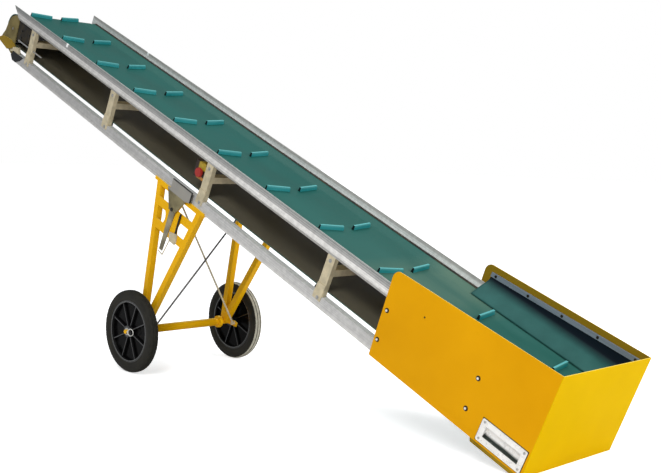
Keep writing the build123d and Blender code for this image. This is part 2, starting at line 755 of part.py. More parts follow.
# Crossed brace rods, eye to eye from the axle's lugs to the opposite saddle's lug
for name, side, shift in (("a", -1, 0.0), ("b", 1, brace_step)):
    low_eye = (brace_low[0] + shift, side * (axle_lug_v - EYE_THICK / 2), brace_low[1])
    top_eye = (brace_top[0] + shift, -side * (brace_lug_v - EYE_THICK / 2), brace_top[1])
    foot = place(*low_eye)
    along = place(*top_eye) - foot
    with BuildPart() as rod:
        with BuildSketch(Plane(origin=foot, z_dir=along)):
            Circle(BRACE_R)
        extrude(amount=along.length)
        for u, v, w in (low_eye, top_eye):
            with BuildSketch(side_plane(v)):
                with Locations((u, w)):
                    Circle(EYE_R)
            extrude(amount=EYE_THICK / 2, both=True)
    save(rod, f"brace_rod_{name}")

# Lever clamp on the near chord: jaw plate over the chord, hand lever on its pivot,
# strut, and the lug whose bent rod keeps the lever down
lever_v = -(LEG_OUT + 0.5)
jaw_v = lever_v - CLAMP_THICK - SEAT_GAP
pivot = (-8.0, CHORD_LOW_W - 74)
lever_end_w = pivot[1] - 217
strut_low_w = CHORD_LOW_W - 167
lug_top_w = strut_low_w - 15
PIVOT_R = 6.0
STRUT_R = 5.0
hook_v = lever_v - 2.8
with BuildPart() as clamp_plate:
    with BuildSketch(side_plane(jaw_v)):
        Polygon(
            (-60, CHORD_LOW_W + 10),
            (-60, CHORD_TOP_W + 11),
            (100, CHORD_TOP_W + 11),
            (100, CHORD_LOW_W + 10),
            (70, CHORD_LOW_W + 2),
            (16, pivot[1] - 10),
            (-32, pivot[1] - 10),
            (-82, CHORD_LOW_W + 12),
            align=None,
        )
    extrude(amount=CLAMP_THICK)
    with BuildSketch(side_plane(-(CHORD_OUT + SEAT_GAP))):
        with Locations((20, CHORD_TOP_W - 16)):
            Rectangle(150, 30)
    extrude(amount=-jaw_v - CHORD_OUT - SEAT_GAP)
    with BuildSketch(side_plane(lever_v)):
        with Locations(pivot):
            Circle(PIVOT_R)
    extrude(amount=CLAMP_THICK + SEAT_GAP)
    with BuildSketch(side_plane(jaw_v - CLAMP_THICK)):
        with Locations(pivot):
            RegularPolygon(9, 6)
    extrude(amount=5)
save(clamp_plate, "clamp_plate")
with BuildPart() as hand_lever:
    with BuildSketch(side_plane(lever_v)):
        Polygon(
            (pivot[0] - 21, pivot[1]),
            (pivot[0] - 20, lever_end_w),
            (pivot[0] + 3, lever_end_w),
            (pivot[0] + 21, pivot[1]),
            align=None,
        )
        with Locations(pivot):
            Circle(21)
            Circle(PIVOT_R + RUNNING_GAP, mode=Mode.SUBTRACT)
    extrude(amount=CLAMP_THICK)
save(hand_lever, "hand_lever")
with BuildPart() as clamp_strut:
    with BuildSketch(deck_plane(strut_low_w)):
        with Locations((57, -(LEG_OUT + SEAT_GAP + STRUT_R))):
            Circle(STRUT_R)
    extrude(amount=99)
save(clamp_strut, "clamp_strut")
with BuildPart() as strut_lug:
    with BuildSketch(side_plane(lever_v)):
        lug = ((9, 0), (68, 15), (76, -25), (68, -40), (22, -40))
        Polygon(*from_point(0, lug_top_w, lug), align=None)
    extrude(amount=4)
    hook = from_point(0, lug_top_w, ((26, -38), (4, -125), (-32, -121)))
    for start, end in zip(hook, hook[1:]):
        hook_start = place(start[0], hook_v, start[1])
        hook_line = place(end[0], hook_v, end[1]) - hook_start
        with BuildSketch(Plane(origin=hook_start, z_dir=hook_line)):
            Circle(2.5)
        extrude(amount=hook_line.length)
save(strut_lug, "strut_lug")

# Wheels: ribbed disc with hub, tyre, and the washer on the axle's end
rim_r = WHEEL_R - TYRE_HIGH
web_r = rim_r - RIM_WALL
rib_mid = (HUB_R + web_r) / 2
tyre_half = TYRE_WIDTH / 2
tyre_section = (
    (rim_r, -tyre_half + 5),
    (rim_r + 20, -tyre_half),
    (WHEEL_R, -tyre_half + 12),
    (WHEEL_R, tyre_half - 12),
    (rim_r + 20, tyre_half),
    (rim_r, tyre_half - 5),
)
for name, side in SIDES:
    with BuildPart() as rim:
        with BuildSketch(side_plane(side * WHEEL_Y)):
            Circle(rim_r)
            Circle(web_r, mode=Mode.SUBTRACT)
        extrude(amount=tyre_half - 5, both=True)
        with BuildSketch(side_plane(side * WHEEL_Y)):
            Circle(web_r)
        extrude(amount=3, both=True)
        with BuildSketch(side_plane(side * WHEEL_Y)):
            with PolarLocations(rib_mid, RIB_COUNT):
                Rectangle(web_r - HUB_R + 8, 5)
        extrude(amount=15, both=True)
        with BuildSketch(side_plane(side * HUB_IN)):
            Circle(HUB_R)
        extrude(amount=-side * HUB_LONG)
        with BuildSketch(side_plane(side * HUB_IN)):
            Circle(STUB_R + RUNNING_GAP)
        extrude(amount=-side * HUB_LONG, mode=Mode.SUBTRACT)
    save(rim, f"wheel_{name}")
    middle = (AXLE_X, side * WHEEL_Y, WHEEL_R)
    with BuildPart() as tyre:
        with BuildSketch(Plane(origin=middle, x_dir=(1, 0, 0), z_dir=(0, 0, 1))):
            Polygon(*tyre_section, align=None)
        revolve(axis=Axis(middle, (0, 1, 0)))
    save(tyre, f"tyre_{name}")
    with BuildPart() as washer:
        with BuildSketch(side_plane(side * (HUB_OUT + SEAT_GAP))):
            RegularPolygon(18, 24)
            Circle(STUB_R + RUNNING_GAP, mode=Mode.SUBTRACT)
        extrude(amount=-side * 2.5)
    save(washer, f"axle_washer_{name}")
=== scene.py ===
import math

import bpy
from mathutils import Matrix, Vector


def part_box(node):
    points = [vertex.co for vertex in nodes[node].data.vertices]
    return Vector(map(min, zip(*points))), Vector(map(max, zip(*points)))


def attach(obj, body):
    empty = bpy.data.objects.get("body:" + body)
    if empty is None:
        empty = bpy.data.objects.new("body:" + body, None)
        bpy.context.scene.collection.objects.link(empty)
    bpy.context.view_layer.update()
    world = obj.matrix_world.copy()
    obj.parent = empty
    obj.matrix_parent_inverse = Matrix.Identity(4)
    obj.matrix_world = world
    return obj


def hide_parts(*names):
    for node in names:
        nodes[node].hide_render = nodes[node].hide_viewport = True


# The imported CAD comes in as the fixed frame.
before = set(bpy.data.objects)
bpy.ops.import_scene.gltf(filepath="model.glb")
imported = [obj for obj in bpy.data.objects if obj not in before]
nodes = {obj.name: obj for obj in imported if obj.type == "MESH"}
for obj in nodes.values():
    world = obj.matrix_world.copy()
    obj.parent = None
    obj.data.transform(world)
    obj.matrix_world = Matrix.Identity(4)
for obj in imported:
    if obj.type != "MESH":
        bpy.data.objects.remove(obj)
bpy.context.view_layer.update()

# Place of the axle in the row frame. The machine is laid out from it.
AXLE_X = (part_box("tyre_near")[0].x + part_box("tyre_near")[1].x) / 2
AXLE_Z = 0.2

# Camera: solved from the wheels, the cleat rows and the rails of the photograph. Its angles
# are in radians, and its shifts are in pixels of a picture 661 wide.
camera = bpy.data.cameras.new("camera")
camera_object = bpy.data.objects.new("camera", camera)
bpy.context.scene.collection.objects.link(camera_object)
yaw, pitch, roll = 0.7832, 0.0726, 0.0302
forward = Vector(
    (-math.sin(yaw) * math.cos(pitch), math.cos(yaw) * math.cos(pitch), -math.sin(pitch))
)
right = forward.cross(Vector((0, 0, 1))).normalized()
up = right.cross(forward)
rolled_right = math.cos(roll) * right + math.sin(roll) * up
rolled_up = -math.sin(roll) * right + math.cos(roll) * up
turn = Matrix((rolled_right, rolled_up, -forward)).transposed().to_4x4()
camera_place = Vector((AXLE_X + 4.32327, -3.25779, 1.06501))
camera_object.matrix_world = Matrix.Translation(camera_place) @ turn
camera.sensor_width = 36
camera.lens = 58.32
picture_width = 661
camera.shift_x = -8.93 / picture_width
camera.shift_y = -0.65 / picture_width
camera.clip_end = 200
bpy.context.scene.camera = camera_object

# Floor: plain and white. To the camera it glows a little, and fully so further out, where it
# runs into the white of the sky without a horizon.
floor_half = 60
floor_mesh = bpy.data.meshes.new("floor")
floor_corners = [(-1, -1), (1, -1), (1, 1), (-1, 1)]
floor_mesh.from_pydata(
    [(x * floor_half, y * floor_half, 0) for x, y in floor_corners], [], [(0, 1, 2, 3)]
)
floor = bpy.data.objects.new("floor", floor_mesh)
bpy.context.scene.collection.objects.link(floor)
floor_material = bpy.data.materials.new("floor")
floor_material.use_nodes = True
floor_shader = floor_material.node_tree.nodes["Principled BSDF"]
floor_shader.inputs["Base Color"].default_value = (0.9, 0.9, 0.9, 1)
floor_shader.inputs["Roughness"].default_value = 0.9
floor_shader.inputs["Specular IOR Level"].default_value = 0.05
floor_path = floor_material.node_tree.nodes.new("ShaderNodeLightPath")
floor_place = floor_material.node_tree.nodes.new("ShaderNodeTexCoord")
floor_reach = floor_material.node_tree.nodes.new("ShaderNodeVectorMath")
floor_reach.operation = "LENGTH"
floor_level = floor_material.node_tree.nodes.new("ShaderNodeMapRange")
glow_fade = {"From Min": 4.0, "From Max": 9.0, "To Min": 0.62, "To Max": 1.0}
for fade_socket, fade_value in glow_fade.items():
    floor_level.inputs[fade_socket].default_value = fade_value
floor_glow = floor_material.node_tree.nodes.new("ShaderNodeMath")
floor_glow.operation = "MULTIPLY"
floor_shader.inputs["Emission Color"].default_value = (1, 1, 1, 1)
floor_links = floor_material.node_tree.links
floor_links.new(floor_place.outputs["Object"], floor_reach.inputs[0])
floor_links.new(floor_reach.outputs["Value"], floor_level.inputs[0])
floor_links.new(floor_level.outputs[0], floor_glow.inputs[1])
floor_links.new(floor_path.outputs["Is Camera Ray"], floor_glow.inputs[0])
floor_links.new(floor_glow.outputs[0], floor_shader.inputs["Emission Strength"])
floor_mesh.materials.append(floor_material)

# Light: soft and even from above, with a gentle key from the camera's left. The sky is white
# to the camera and pale to the surfaces.
world = bpy.data.worlds.new("sky")
bpy.context.scene.world = world
world.use_nodes = True
sky = world.node_tree
sky.nodes.clear()
sky_out = sky.nodes.new("ShaderNodeOutputWorld")
sky_mix = sky.nodes.new("ShaderNodeMixShader")
sky_path = sky.nodes.new("ShaderNodeLightPath")
sky_light = sky.nodes.new("ShaderNodeBackground")
sky_light.inputs["Color"].default_value = (0.93, 0.96, 1.0, 1)
sky_light.inputs["Strength"].default_value = 0.42
sky_seen = sky.nodes.new("ShaderNodeBackground")
sky_seen.inputs["Color"].default_value = (1, 1, 1, 1)
sky_seen.inputs["Strength"].default_value = 1.0
sky.links.new(sky_path.outputs["Is Camera Ray"], sky_mix.inputs["Fac"])
sky.links.new(sky_light.outputs[0], sky_mix.inputs[1])
sky.links.new(sky_seen.outputs[0], sky_mix.inputs[2])
sky.links.new(sky_mix.outputs[0], sky_out.inputs["Surface"])

for light_name, place, target, size, power in (
    ("key", (3.5, -5.0, 5.5), (0.3, 0, 0.6), 3.0, 270),
    ("fill", (6.5, 1.5, 3.5), (0.8, 0, 0.5), 3.0, 210),
    ("top", (-0.5, 1.0, 6.0), (0, 0, 0.8), 4.0, 130),
):
    lamp = bpy.data.lights.new(light_name, "AREA")
    lamp.shape = "DISK"
    lamp.size = size
    lamp.energy = power
    lamp_object = bpy.data.objects.new(light_name, lamp)
    bpy.context.scene.collection.objects.link(lamp_object)
    aim = (Vector(target) - Vector(place)).to_track_quat("-Z", "Y").to_matrix().to_4x4()
    lamp_object.matrix_world = Matrix.Translation(Vector(place)) @ aim

bpy.context.scene.view_settings.view_transform = "Standard"

# Undercarriage: on each side a V of two legs under a saddle, with the axle and the ladder
# plate between them, of steel in a deep, even yellow powder coat with a fine orange-peel skin.
# Places are given in the belt frame: u down the slope, v across and w square to the belt.
INCLINE = math.radians(23.56)
COS, SIN = math.cos(INCLINE), math.sin(INCLINE)


def at(u, v, w):
    """A point given in belt-frame millimetres, as a place in metres."""
    x = AXLE_X + (u * COS + w * SIN) / 1000
    z = AXLE_Z + (w * COS - u * SIN) / 1000
    return Vector((x, v / 1000, z))


class Shade:
    """A node material being built, with short helpers for the nodes it uses most."""

    def __init__(self, name):
        self.material = bpy.data.materials.new(name)
        self.material.use_nodes = True
        self.tree = self.material.node_tree
        self.shader = self.tree.nodes["Principled BSDF"]

    def node(self, kind, **settings):
        made = self.tree.nodes.new(kind)
        for key, value in settings.items():
            setattr(made, key, value)
        return made

    def link(self, source, target):
        self.tree.links.new(source, target)

    def coordinates(self, scale=(1, 1, 1), slope=False):
        """Object coordinates, turned into the belt frame if slope is set, then scaled."""
        source = self.node("ShaderNodeTexCoord").outputs["Object"]
        if slope:
            shifted = self.node("ShaderNodeMapping", vector_type="TEXTURE")
            shifted.inputs["Location"].default_value = (AXLE_X, 0, AXLE_Z)
            shifted.inputs["Rotation"].default_value = (0, INCLINE, 0)
            self.link(source, shifted.inputs["Vector"])
            source = shifted.outputs[0]
        mapping = self.node("ShaderNodeMapping")
        mapping.inputs["Scale"].default_value = scale
        self.link(source, mapping.inputs["Vector"])
        return mapping.outputs[0]

    def parts(self, vector):
        """The X, Y and Z of a vector."""
        made = self.node("ShaderNodeSeparateXYZ")
        self.link(vector, made.inputs[0])
        return made.outputs

    def facing(self):
        """The direction that a face looks in, free of smoothing."""
        return self.node("ShaderNodeNewGeometry").outputs["True Normal"]

    def noise(self, vector, scale, detail=3.0, roughness=0.5):
        made = self.node("ShaderNodeTexNoise")
        made.inputs["Scale"].default_value = scale
        made.inputs["Detail"].default_value = detail
        made.inputs["Roughness"].default_value = roughness
        self.link(vector, made.inputs["Vector"])
        return made.outputs["Fac"]

    def math(self, operation, a, b=None):
        made = self.node("ShaderNodeMath", operation=operation)
        for socket, value in ((0, a), (1, b)):
            if value is None:
                continue
            if isinstance(value, (int, float)):
                made.inputs[socket].default_value = value
            else:
                self.link(value, made.inputs[socket])
        return made.outputs[0]

    def away(self, value, middle):
        """How far a value is from a middle, to either side."""
        return self.math("ABSOLUTE", self.math("SUBTRACT", value, middle))

    def ramp(self, value, stops):
        made = self.node("ShaderNodeValToRGB")
        elements = made.color_ramp.elements
        while len(elements) < len(stops):
            elements.new(0.5)
        for element, (position, color) in zip(elements, stops):
            element.position = position
            element.color = (*color, 1)
        self.link(value, made.inputs["Fac"])
        return made.outputs["Color"]

    def tones(self, value, first, second):
        """A colour between two tones, over the usual reach of a noise."""
        return self.ramp(value, [(0.3, first), (0.7, second)])

    def mix(self, factor, a, b):
        made = self.node("ShaderNodeMix", data_type="RGBA")
        for socket, value in ((0, factor), (6, a), (7, b)):
            if isinstance(value, (int, float)):
                made.inputs[socket].default_value = value
            elif isinstance(value, tuple):
                made.inputs[socket].default_value = (*value, 1)
            else:
                self.link(value, made.inputs[socket])
        return made.outputs[2]

    def span(self, value, low, high, out_low, out_high):
        """Turns the span low to high into out_low to out_high, and holds it there outside."""
        made = self.node("ShaderNodeMapRange", clamp=True)
        for socket, number in ((1, low), (2, high), (3, out_low), (4, out_high)):
            made.inputs[socket].default_value = number
        self.link(value, made.inputs[0])
        return made.outputs[0]

    def step_up(self, value, edge, half_width, top=1.0):
        """Rises from nothing to top, over a short way to both sides of an edge."""
        return self.span(value, edge - half_width, edge + half_width, 0.0, top)

    def step_down(self, value, edge, half_width, top=1.0):
        """Falls from top to nothing, over a short way to both sides of an edge."""
        return self.span(value, edge - half_width, edge + half_width, top, 0.0)

    def vary(self, value, out_low, out_high):
        """A number between two others, over the usual reach of a noise."""
        return self.span(value, 0.3, 0.7, out_low, out_high)

    def bump(self, height, strength, distance):
        made = self.node("ShaderNodeBump")
        made.inputs["Strength"].default_value = strength
        made.inputs["Distance"].default_value = distance
        self.link(height, made.inputs["Height"])
        self.link(made.outputs[0], self.shader.inputs["Normal"])

    def set(self, **values):
        """Sets or links the shader's own inputs, with an underscore for each space."""
        for key, value in values.items():
            socket = self.shader.inputs[key.replace("_", " ")]
            if isinstance(value, (int, float)):
                socket.default_value = value
            elif isinstance(value, tuple):
                socket.default_value = (*value, 1)
            else:
                self.link(value, socket)


def dress(shade, *names):
    """Gives CAD pieces their finish."""
    for name in names:
        piece = nodes[name]
        piece.data.materials.clear()
        piece.data.materials.append(shade.material)


def powder_coat(name, darker, lighter):
    """A yellow coat in two tones: painted highlight on edges that look up, painted shade on faces
    that look in.
    """
    coat = Shade(name)
    place = coat.coordinates()
    blotch = coat.noise(place, 3.0)
    spot = coat.parts(place)
    looks = coat.parts(coat.facing())
    outward = coat.math("MULTIPLY", spot["Y"], looks["Y"])
    wall_inside, wall_outside = 0.275, 0.280
    # Inner faces of the hopper's walls are painted darker, as painted shade.
    inside = coat.span(outward, -wall_inside, -wall_outside, 0.0, 1.0)
    plain = coat.tones(blotch, darker, lighter)
    # Faces that look up are painted paler, as a painted highlight.
    with_painted_highlight = coat.mix(coat.span(looks["Z"], 0.8, 0.9, 0.0, 0.7), plain, (0.95, 0.72, 0.16))
    coat.set(
        Base_Color=coat.mix(inside, with_painted_highlight, (0.30, 0.185, 0.012)),
        Roughness=coat.vary(coat.noise(place, 14.0), 0.32, 0.42),
        Specular_IOR_Level=0.12,
        Specular_Tint=(1.0, 0.7, 0.1),
    )
    coat.bump(coat.noise(place, 900.0, detail=1.0), 0.05, 0.001)
    return coat


frame_coat = powder_coat("frame_paint", (0.80, 0.41, 0.003), (0.90, 0.48, 0.008))
dress(frame_coat, "saddle_near", "saddle_far", "axle", "ladder_plate")
dress(frame_coat, "leg_near_head", "leg_near_tail", "leg_far_head", "leg_far_tail")


def piece_from(name, verts, faces, shade, body, smooth=False):
    """A finished piece from its points and faces, in the row frame, riding on a body."""
    mesh = bpy.data.meshes.new(name)
    mesh.from_pydata([tuple(v) for v in verts], [], faces)
    mesh.validate()
    for polygon in mesh.polygons:
        polygon.use_smooth = smooth
    mesh.materials.append(shade.material)
    made = bpy.data.objects.new(name, mesh)
    bpy.context.scene.collection.objects.link(made)
    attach(made, body)
    return made


# Axle sleeve: the wider steel tube that covers the axle between its two collars, in the same
# yellow coat as the legs
sleeve_sides, sleeve_radius, sleeve_reach = 32, 20.0, 187.5
verts = []
for v in (-sleeve_reach, sleeve_reach):
    for i in range(sleeve_sides):
        turn_by = 2 * math.pi * i / sleeve_sides
        verts.append(at(sleeve_radius * math.cos(turn_by), v, sleeve_radius * math.sin(turn_by)))
faces = [tuple(range(sleeve_sides)), tuple(range(2 * sleeve_sides - 1, sleeve_sides - 1, -1))]
for i in range(sleeve_sides):
    n = (i + 1) % sleeve_sides
    faces.append((n, i, sleeve_sides + i, sleeve_sides + n))
sleeve = piece_from("axle_sleeve", verts, faces, frame_coat, "undercarriage")
for polygon in sleeve.data.polygons[2:]:
    polygon.use_smooth = True

# Wheel discs: black plastic mouldings that turn on the axle's ends, near black with painted shade
# in their hollows, the raised ribs a little lighter, and a painted highlight on the lip near the
# rim
wheel_middle = 0.321
wheel_shade = Shade("wheel_plastic")
place = wheel_shade.coordinates()
spot = wheel_shade.parts(place)
out_of_disc = wheel_shade.away(wheel_shade.math("ABSOLUTE", spot["Y"]), wheel_middle)
raised = wheel_shade.step_up(out_of_disc, 0.009, 0.005)
flat_place = wheel_shade.node("ShaderNodeCombineXYZ")
wheel_shade.link(wheel_shade.math("SUBTRACT", spot["X"], AXLE_X), flat_place.inputs["X"])
wheel_shade.link(wheel_shade.math("SUBTRACT", spot["Z"], AXLE_Z), flat_place.inputs["Z"])
radial = wheel_shade.node("ShaderNodeVectorMath", operation="LENGTH")
wheel_shade.link(flat_place.outputs[0], radial.inputs[0])
lip_radius, lip_half, lip_out = 0.1425, 0.0011, 0.018
lip = wheel_shade.math(
    "MULTIPLY",
    wheel_shade.math(
        "LESS_THAN", wheel_shade.away(radial.outputs["Value"], lip_radius), lip_half
    ),
    wheel_shade.math("GREATER_THAN", out_of_disc, lip_out),
)
cast = wheel_shade.noise(place, 60.0)
# Raised ribs are painted a little lighter than the hollows, as painted highlight and shade.
ribs_painted_lighter = wheel_shade.mix(raised, (0.003, 0.003, 0.003), (0.020, 0.020, 0.020))
# A thin band on the rim's lip is painted pale, as a painted highlight.
rim_highlight = wheel_shade.math("MULTIPLY", lip, wheel_shade.span(cast, 0.35, 0.6, 0.3, 1.0))
wheel_shade.set(
    Base_Color=wheel_shade.mix(rim_highlight, ribs_painted_lighter, (0.14, 0.14, 0.13)),
    Roughness=wheel_shade.vary(cast, 0.16, 0.26),
    Specular_IOR_Level=wheel_shade.span(raised, 0.0, 1.0, 0.05, 0.5),
)
dress(wheel_shade, "wheel_near", "wheel_far")

# Tyres: black rubber on the discs' rims, a rounded section turned about the axle with two
# grooves and rows of sipes. The running band is black on the near wheel. On the far one it is
# pale, with dark grooves.
rubber = Shade("tyre")
place = rubber.coordinates()
wear = rubber.noise(place, 25.0, detail=5.0)
rubber.set(
    Base_Color=rubber.tones(wear, (0.013, 0.012, 0.009), (0.028, 0.026, 0.019)),
    Roughness=rubber.vary(wear, 0.55, 0.75),
    Specular_IOR_Level=0.2,
)
rubber.bump(rubber.noise(place, 400.0), 0.08, 0.001)
dress(rubber, "tyre_near", "tyre_far")
tread_shade = Shade("tyre_tread")
place = tread_shade.coordinates()
spot = tread_shade.parts(place)
tread_speckle = tread_shade.noise(place, 60.0, detail=4.0)
black_tread = tread_shade.tones(tread_speckle, (0.013, 0.012, 0.009), (0.028, 0.026, 0.019))
# The far tyre's running band is pale, with dark grooves; the near one's stays black.
pale = tread_shade.tones(tread_speckle, (0.36, 0.34, 0.27), (0.56, 0.53, 0.43))
groove_place, groove_half = 0.0082, 0.0022
off_middle = tread_shade.away(tread_shade.math("ABSOLUTE", spot["Y"]), wheel_middle)
groove = tread_shade.math("LESS_THAN", tread_shade.away(off_middle, groove_place), groove_half)
pale_band = tread_shade.mix(groove, pale, (0.05, 0.045, 0.035))
tread_shade.set(
    Base_Color=tread_shade.mix(
        tread_shade.math("GREATER_THAN", spot["Y"], 0.0), black_tread, pale_band
    ),
    Roughness=tread_shade.vary(tread_speckle, 0.6, 0.8),
    Specular_IOR_Level=0.2,
)
tread_shade.bump(tread_speckle, 0.08, 0.001)

# Each point of the section gives a radius, a place across, and whether a sipe cuts it
tyre_line = [
    (0.1500, 0.0198, 0),
    (0.1530, 0.0222, 0),
    (0.1570, 0.0236, 0),
    (0.1590, 0.0232, 0),
    (0.1610, 0.0243, 0),
    (0.1700, 0.0250, 0),
    (0.1790, 0.0247, 0),
    (0.1865, 0.0236, 0),
    (0.1905, 0.0222, 1),
    (0.1945, 0.0192, 1),
    (0.1972, 0.0158, 1),
    (0.1988, 0.0118, 1),
    (0.1992, 0.0102, 0),
    (0.1965, 0.0090, 0),
    (0.1965, 0.0072, 0),
    (0.1994, 0.0060, 0),
    (0.2000, 0.0022, 1),
]
tyre_line += [(r, -y, k) for r, y, k in reversed(tyre_line)]
tyre_steps, sipe_every, sipe_depth = 288, 6, 0.0016
tread_from = 0.1935
for name, side in (("near", -1), ("far", 1)):
    verts, faces = [], []
    for i in range(tyre_steps):
        angle = 2 * math.pi * i / tyre_steps
        sipe = sipe_depth if i % sipe_every == 0 else 0.0
        for r, y, k in tyre_line:
            radius = r - sipe * k
            x = AXLE_X + radius * math.cos(angle)
            z = AXLE_Z + radius * math.sin(angle)
            verts.append((x, side * wheel_middle + y, z))
    columns = len(tyre_line)
    for i in range(tyre_steps):
        for j in range(columns):
            a = i * columns + j
            b = i * columns + (j + 1) % columns
            c = ((i + 1) % tyre_steps) * columns + (j + 1) % columns
            d = ((i + 1) % tyre_steps) * columns + j
            faces.append((d, c, b, a))
    body = f"wheel_{name}_body"
    tread = piece_from("tyre_tread_" + name, verts, faces, rubber, body, True)
    tread.data.materials.append(tread_shade.material)
    for polygon in tread.data.polygons:
        middle = polygon.center - Vector((AXLE_X, 0, AXLE_Z))
        if math.hypot(middle.x, middle.z) > tread_from:
            polygon.material_index = 1
    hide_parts("tyre_" + name)

# Linch pins: a bright zinc pin through each end of the axle holds the wheel and its washer on.
# The pin's ring hangs outside the hub, and stays with the axle while the wheel turns.
bright = Shade("bright_zinc")
place = bright.coordinates()
film = bright.noise(place, 22.0, detail=3.0)
bright.set(
    Base_Color=bright.tones(film, (0.72, 0.70, 0.64), (0.86, 0.84, 0.78)),
    Metallic=0.3,
    Roughness=bright.vary(film, 0.22, 0.32),
)


def round_bar(verts, faces, path, radius, sides, closed=False):
    """Adds a round bar along path, a list of places in metres, to a piece's verts and faces."""
    base = len(verts)
    count = len(path)
    for i, point in enumerate(path):
        ahead = path[(i + 1) % count] if closed or i + 1 < count else point
        behind = path[i - 1] if closed or i > 0 else point
        along = (Vector(ahead) - Vector(behind)).normalized()
        aside = along.cross(Vector((0.3, 0.9, 0.2))).normalized()
        other = along.cross(aside)
        for k in range(sides):
            turn_by = 2 * math.pi * k / sides
            offset = math.cos(turn_by) * aside + math.sin(turn_by) * other
            verts.append(Vector(point) + radius * offset)
    for i in range(count if closed else count - 1):
        for k in range(sides):
            a = base + i * sides + k
            b = base + i * sides + (k + 1) % sides
            c = base + ((i + 1) % count) * sides + (k + 1) % sides
            d = base + ((i + 1) % count) * sides + k
            faces.append((a, b, c, d))
    if not closed:
        faces.append(tuple(base + k for k in range(sides))[::-1])
        faces.append(tuple(base + (count - 1) * sides + k for k in range(sides)))


pin_place, pin_front, pin_back, pin_radius = 0.3522, 0.021, 0.016, 0.0032
ring_steps, ring_front, ring_turn, ring_radius = 40, 0.036, 0.0165, 0.0019
for name, side in (("near", -1), ("far", 1)):
    verts, faces = [], []
    y_pin = side * pin_place
    bar = [(AXLE_X + pin_front, y_pin, AXLE_Z), (AXLE_X - pin_back, y_pin, AXLE_Z)]
    round_bar(verts, faces, bar, pin_radius, 12)
    ring = []
    for k in range(ring_steps):
        turn_by = 2 * math.pi * k / ring_steps
        x = AXLE_X + ring_front + ring_turn * math.cos(turn_by)
        y = y_pin - side * (0.001 + 0.004 * math.cos(turn_by))
        z = AXLE_Z + ring_turn * math.sin(turn_by)
        ring.append((x, y, z))
    round_bar(verts, faces, ring, ring_radius, 10, closed=True)
    piece_from("linch_pin_" + name, verts, faces, bright, "undercarriage", True)

# Axle washers and take-up screws: zinc-plated steel, on the axle's ends and at the tail drum.
# The two drums are turned steel of the same look.
zinc = Shade("zinc")
place = zinc.coordinates()
scuffs = zinc.noise(place, 30.0, detail=3.0)
zinc.set(
    Base_Color=zinc.tones(scuffs, (0.36, 0.36, 0.35), (0.47, 0.47, 0.46)),
    Metallic=0.6,
    Roughness=zinc.vary(scuffs, 0.3, 0.42),
)
dress(zinc, "axle_washer_near", "axle_washer_far", "takeup_screw_near", "takeup_screw_far")
dress(zinc, "head_drum", "tail_drum")

# Posts and beams: zinc-plated steel, warm grey with soft mottling, bolted between the chords
# and the rails. The belt's bed, the hopper's brackets and one brace are of the same steel.
galvanised = Shade("galvanised")
place = galvanised.coordinates()
mottle = galvanised.noise(place, 40.0, detail=5.0)
galvanised.set(
    Base_Color=galvanised.tones(mottle, (0.48, 0.415, 0.275), (0.68, 0.585, 0.395)),
    Metallic=0.2,
    Roughness=galvanised.vary(mottle, 0.42, 0.6),
)
galvanised.bump(galvanised.noise(place, 300.0), 0.08, 0.001)
dress(galvanised, "posts_near", "posts_far", "cross_beams", "belt_bed")
dress(galvanised, "hopper_brackets_near", "hopper_brackets_far", "brace_rod_b")

# Oiled brace: the other brace rod of the undercarriage, of plain steel, dark under a film of
# oil
oiled = Shade("oiled_steel")
place = oiled.coordinates()
film = oiled.noise(place, 22.0, detail=3.0)
oiled.set(
    Base_Color=oiled.tones(film, (0.12, 0.115, 0.11), (0.20, 0.19, 0.18)),
    Metallic=0.5,
    Roughness=oiled.vary(film, 0.3, 0.42),
)
dress(oiled, "brace_rod_a")

# Chords and side rails: extruded aluminium, pale, with die lines drawn out along the slope.
# Across each section runs a fixed order of bands of painted light and shade over its ribs and
# grooves, the inner faces carry painted light, the whole is darker towards the head end, and the
# joint between two rail lengths shows as a painted highlight on their crest.
aluminium = Shade("aluminium")
drawn = aluminium.coordinates(scale=(0.3, 60, 60), slope=True)
lines = aluminium.noise(drawn, 4.0, detail=6.0, roughness=0.7)
spot = aluminium.parts(aluminium.coordinates(slope=True))
looks = aluminium.parts(aluminium.facing())
outward = aluminium.math("MULTIPLY", spot["Y"], looks["Y"])
chord_foot, above_crest = 0.72, 1.02
# Bands of painted light and shade by height, over the section's ribs, with dark lines in its
# grooves.
light_and_shade_bands = aluminium.ramp(
    aluminium.span(spot["Z"], chord_foot, above_crest, 0.0, 1.0),
    [
        (0.03, (0.72, 0.70, 0.67)),
        (0.08, (0.57, 0.56, 0.54)),
        (0.78, (0.57, 0.56, 0.55)),
        (0.795, (0.42, 0.405, 0.38)),
        (0.808, (0.30, 0.29, 0.27)),
        (0.82, (0.80, 0.78, 0.74)),
        (0.885, (0.78, 0.76, 0.73)),
        (0.892, (0.30, 0.29, 0.28)),
        (0.90, (0.52, 0.51, 0.495)),
        (0.918, (0.46, 0.455, 0.44)),
        (0.925, (0.24, 0.24, 0.23)),
        (0.932, (0.42, 0.42, 0.405)),
        (0.945, (0.40, 0.40, 0.385)),
        (0.952, (0.22, 0.225, 0.215)),
        (0.96, (0.35, 0.365, 0.35)),
    ],
)
# Inner faces are painted near white below the crest, as painted light.
wear_and_painted_light = aluminium.mix(
    aluminium.span(spot["Z"], 0.990, 1.004, 0.0, 1.0),
    (1.0, 1.0, 0.97),
    (0.56, 0.53, 0.50),
)
bands_and_inner_light = aluminium.mix(aluminium.span(outward, -0.1, 0.1, 1.0, 0.0), light_and_shade_bands, wear_and_painted_light)
